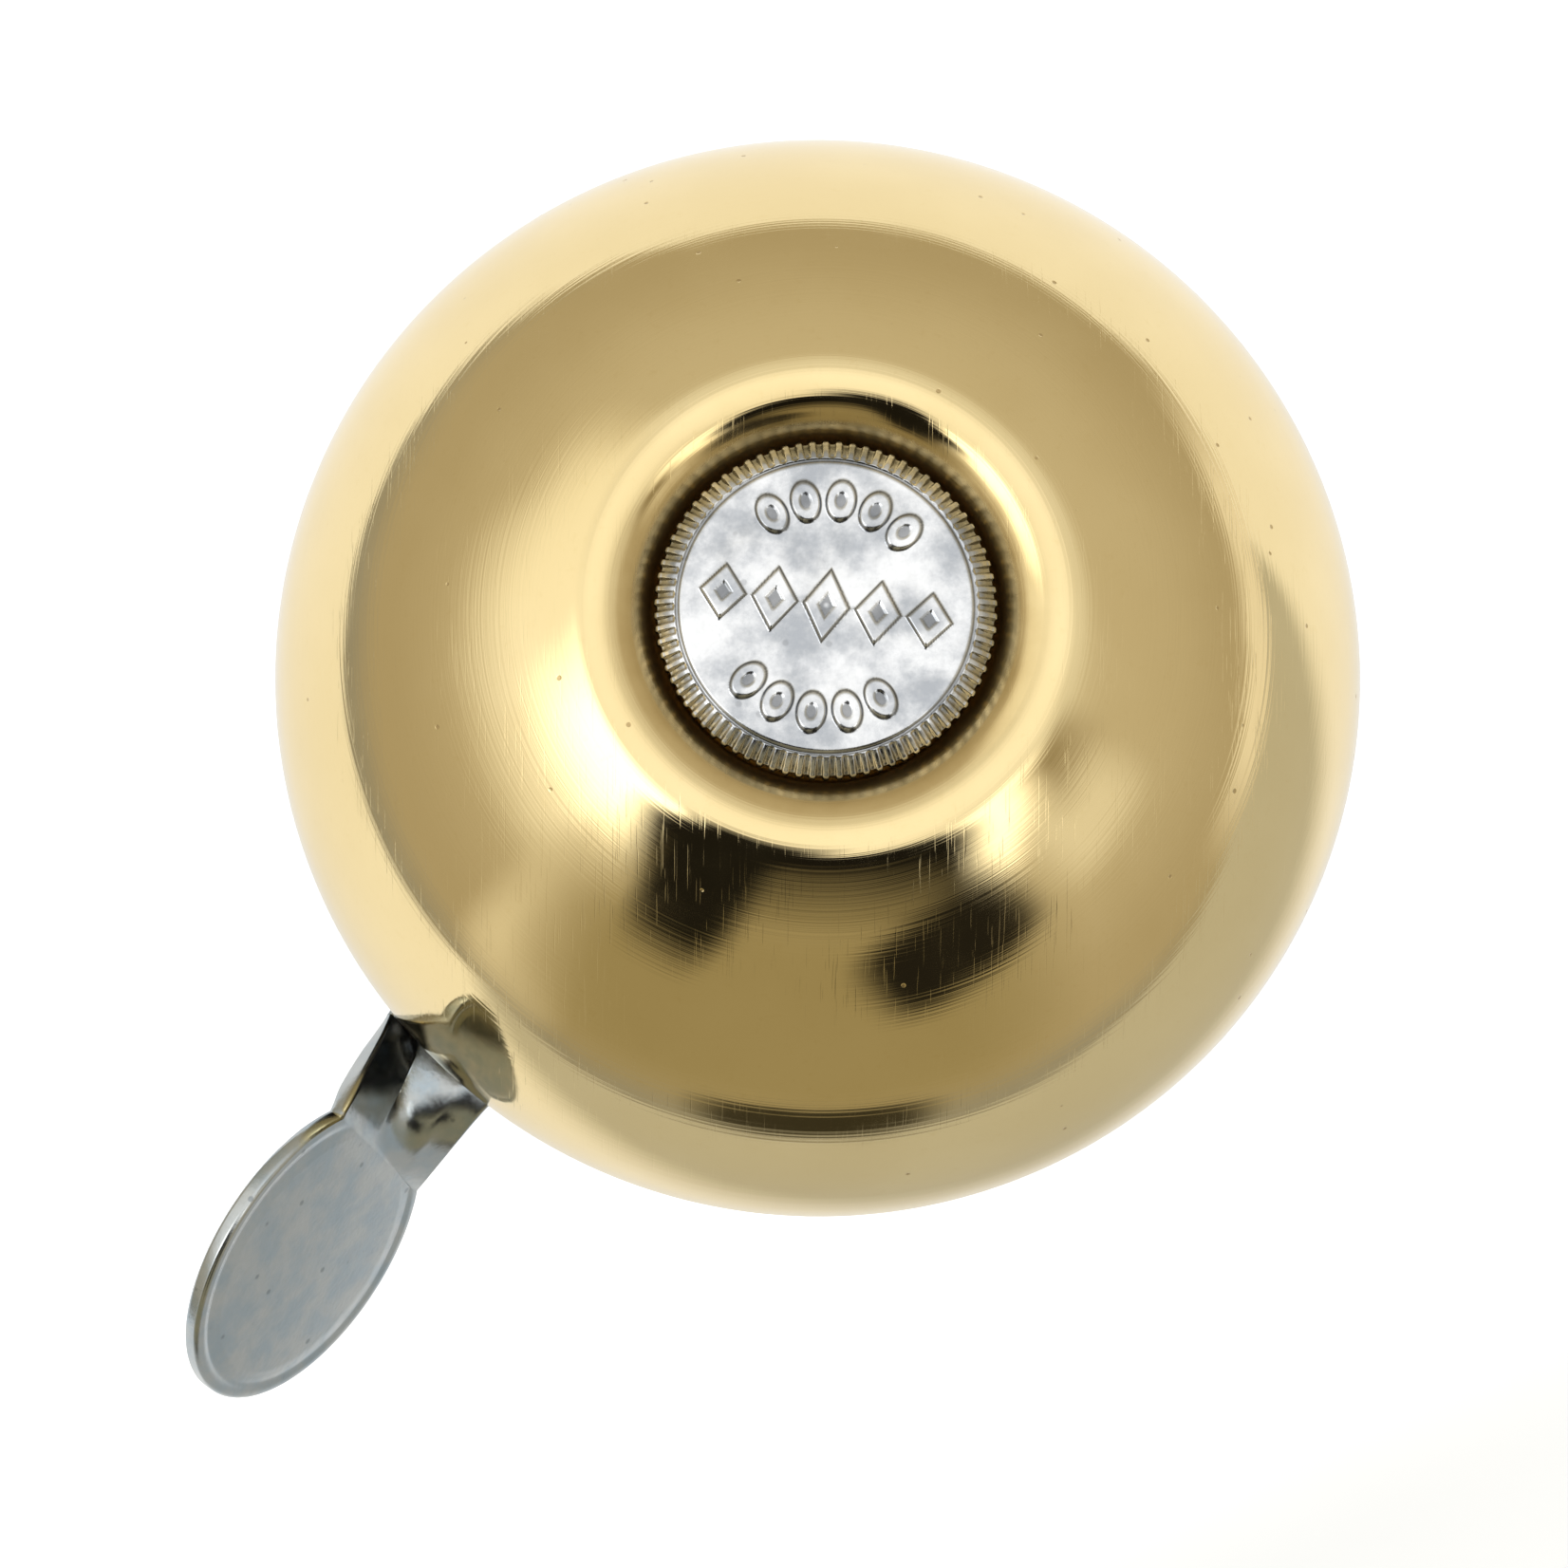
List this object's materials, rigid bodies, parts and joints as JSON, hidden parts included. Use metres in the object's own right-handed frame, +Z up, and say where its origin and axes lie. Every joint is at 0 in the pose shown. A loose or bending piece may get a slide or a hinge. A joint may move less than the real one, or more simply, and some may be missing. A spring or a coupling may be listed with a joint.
{
  "type": "bicycle bell",
  "caption": "Round polished brass bicycle bell with a serrated plated dome nut, a pressed steel thumb lever that spins a geared clapper carrier, and a two-piece handlebar band clamp.",
  "frame": {"origin": "on the handlebar's axis at the middle of the clamp's width, straight below the gong's centre", "axes": "+X along the handlebar, +Z up through the gong's centre, -Y towards the side that the thumb lever hangs out on; the lever points to -X -Y"},
  "size_m": [0.0645, 0.0693, 0.0584],
  "materials": {
    "brass": "mirror-polished spun brass with fine lengthwise scratches",
    "brass_insert": "turned brass",
    "gear_brass": "stamped brass, satin",
    "steel": "turned steel, satin",
    "spring_steel": "dark spring steel",
    "zinc_plate": "bright zinc-plated pressed steel",
    "zinc_screw": "zinc-plated fastener",
    "plated_cap": "satin nickel plate, serrated edge",
    "plated_lever": "satin nickel plate with faint mottling",
    "fibre": "vulcanised fibre washer",
    "dark_enamel": "black stove enamel on pressed steel, semi-gloss"
  },
  "bodies": {
    "base": {"gong_dome": "brass", "striker_lugs": "steel", "dome_nut_cap": "plated_cap", "dome_nut_insert": "brass_insert", "gong_seat_washer": "fibre", "post_sleeve": "steel", "center_post": "steel", "base_dish": "dark_enamel", "lever_pin": "steel", "gear_pin": "steel", "spring_post": "steel", "lever_washer": "steel", "retaining_clips": "spring_steel", "lever_return_spring": "spring_steel", "clamp_saddle": "zinc_plate", "saddle_rivets": "steel", "clamp_strap": "zinc_plate", "clamp_screws": "zinc_screw", "lock_washers": "spring_steel", "clamp_nuts": "zinc_screw"},
    "lever": {"thumb_lever": "plated_lever"},
    "idler": {"idler_gear": "gear_brass", "idler_pinion": "gear_brass"},
    "rotor": {"clapper_carrier": "zinc_plate", "rotor_pinion": "gear_brass", "clapper_pins": "steel"},
    "clapper_a": {"clapper_ring_a": "steel"},
    "clapper_b": {"clapper_ring_b": "steel"}
  },
  "joints": [
    {"name": "lever_press", "type": "hinge", "parent": "base", "child": "lever", "pos_m": [-0.01562, -0.01322, 0.0192], "axis": [0, 0, -1], "range_deg": [0, 40], "stiffness_Nm_per_rad": 0.05, "springref_deg": -20.05, "deforming": ["lever_return_spring"]},
    {"name": "idler_turn", "type": "hinge", "parent": "base", "child": "idler", "pos_m": [-0.01224, 0.0068, 0.0205], "axis": [0, 0, -1], "range_deg": [-154, 0]},
    {"name": "rotor_spin", "type": "hinge", "parent": "base", "child": "rotor", "pos_m": [0, 0, 0.023], "axis": [0, 0, -1], "range_deg": [0, 358]},
    {"name": "clapper_a_throw", "type": "slide", "parent": "rotor", "child": "clapper_a", "axis": [0.5299, 0.848, 0], "range_m": [-0.0014, 0.0014]},
    {"name": "clapper_b_throw", "type": "slide", "parent": "rotor", "child": "clapper_b", "axis": [-0.5299, -0.848, 0], "range_m": [-0.0014, 0.0014]}
  ],
  "couplings": [
    {"joint": "idler_turn", "follows": "lever_press", "ratio": -3.8333},
    {"joint": "rotor_spin", "follows": "lever_press", "ratio": 8.9444}
  ]
}
